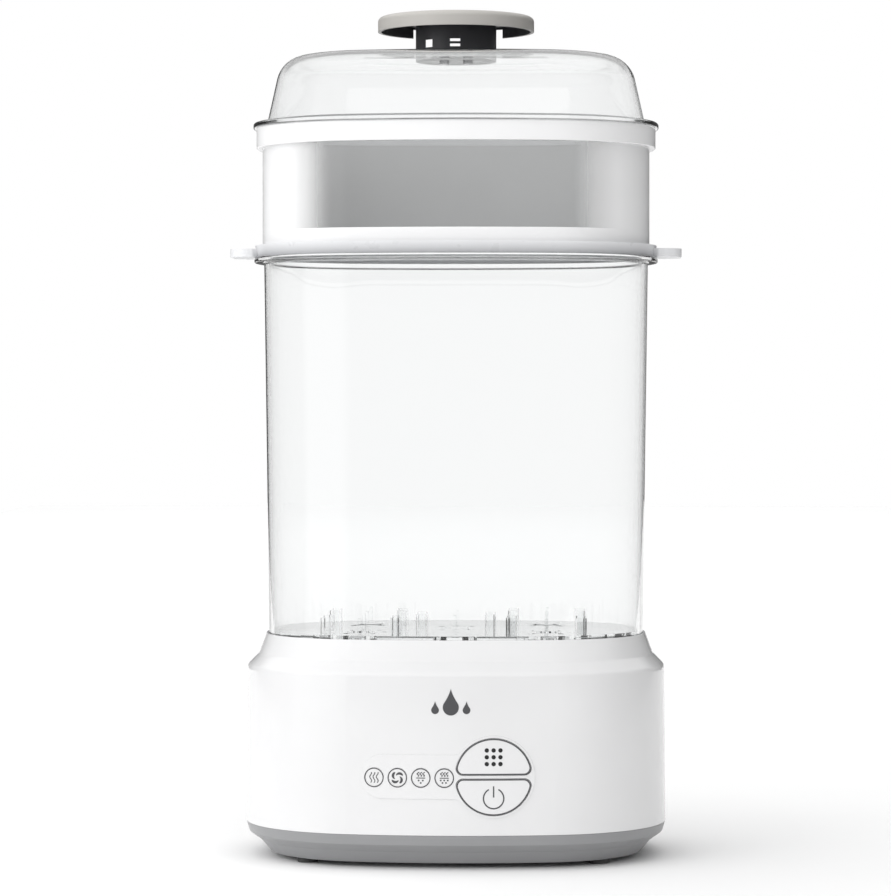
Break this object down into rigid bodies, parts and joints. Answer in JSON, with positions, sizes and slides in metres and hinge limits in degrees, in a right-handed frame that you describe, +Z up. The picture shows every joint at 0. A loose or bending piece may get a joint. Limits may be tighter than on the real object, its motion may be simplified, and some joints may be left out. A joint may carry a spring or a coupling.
{
  "type": "bottle sterilizer",
  "caption": "Oval steam sterilizer and dryer: white base with keys, tall clear chamber, windowed tray and clear domed lid with knob.",
  "frame": {"origin": "centre of the footprint, on the surface that the feet stand on", "axes": "+Z up; the control panel faces -Y; +X is to the right seen from the front"},
  "size_m": [0.268, 0.1909, 0.4975],
  "materials": {
    "white_shell": "smooth gloss moulding",
    "grey_pan": "fine satin moulding, slightly worn at the lower edge",
    "clear_plastic": "clear polished moulding",
    "tray_white": "smooth gloss moulding",
    "tray_grey": "smooth satin moulding",
    "cap_grey": "satin moulding",
    "charcoal": "satin moulding",
    "button_white": "smooth gloss key with dark outline",
    "lens": "translucent window",
    "dark_rubber": "matte rubber",
    "silicone": "translucent silicone",
    "screw_steel": "zinc plated",
    "plate_steel": "spun stainless steel",
    "aluminium": "cast and milled",
    "black_plastic": "fine texture",
    "board_green": "solder mask",
    "filter_paper": "pleated glass paper"
  },
  "bodies": {
    "base": {"bottom_pan": "grey_pan", "feet": "dark_rubber", "bottom_screws": "screw_steel", "base_housing": "white_shell", "cord_gland": "black_plastic", "gland_nut": "black_plastic", "well_deck": "tray_white", "plate_seal": "silicone", "heating_plate": "plate_steel", "heater_block": "aluminium", "heater_element": "screw_steel", "heater_strap": "screw_steel", "strap_screws": "screw_steel", "thermostat": "black_plastic", "thermal_fuse": "screw_steel", "fuse_clip": "screw_steel", "blower_housing": "black_plastic", "blower_cover": "black_plastic", "fan_motor": "screw_steel", "inlet_gasket": "dark_rubber", "air_duct": "black_plastic", "air_heater": "aluminium", "air_outlet_cap": "tray_white", "filter_housing": "tray_white", "control_bezel": "white_shell", "indicator_lenses": "lens", "indicator_lights": "lens", "control_board": "board_green", "board_screws": "screw_steel", "button_switches": "black_plastic", "power_board": "board_green", "board_parts": "black_plastic"},
    "fan": {"fan_wheel": "charcoal"},
    "filter_drawer": {"filter_holder": "white_shell", "air_filter": "filter_paper"},
    "mode_key": {"mode_button": "button_white"},
    "power_key": {"power_button": "button_white"},
    "chamber": {"chamber_wall": "clear_plastic"},
    "rack": {"bottle_rack": "clear_plastic"},
    "tray": {"tray_base": "tray_grey", "tray_shell": "tray_white", "tray_window": "clear_plastic"},
    "lid": {"lid_dome": "clear_plastic", "vent_collar": "charcoal", "handle_cap": "cap_grey", "handle_screws": "screw_steel"}
  },
  "joints": [
    {"name": "fan_spin", "type": "hinge", "parent": "base", "child": "fan", "pos_m": [-0.022, 0.049, 0.056], "axis": [0, 1, 0], "continuous": true},
    {"name": "filter_pull", "type": "slide", "parent": "base", "child": "filter_drawer", "axis": [0, 1, 0], "range_m": [0, 0.04]},
    {"name": "mode_press", "type": "slide", "parent": "base", "child": "mode_key", "axis": [0, 1, 0], "range_m": [0, 0.0008], "stiffness_N_per_m": 900},
    {"name": "power_press", "type": "slide", "parent": "base", "child": "power_key", "axis": [0, 1, 0], "range_m": [0, 0.0008], "stiffness_N_per_m": 900},
    {"name": "chamber_lift", "type": "slide", "parent": "base", "child": "chamber", "axis": [0, 0, 1], "range_m": [0, 0.06]},
    {"name": "rack_lift", "type": "slide", "parent": "base", "child": "rack", "axis": [0, 0, 1], "range_m": [0, 0.04]},
    {"name": "tray_lift", "type": "slide", "parent": "chamber", "child": "tray", "axis": [0, 0, 1], "range_m": [0, 0.06]},
    {"name": "lid_lift", "type": "slide", "parent": "tray", "child": "lid", "axis": [0, 0, 1], "range_m": [0, 0.08]}
  ]
}
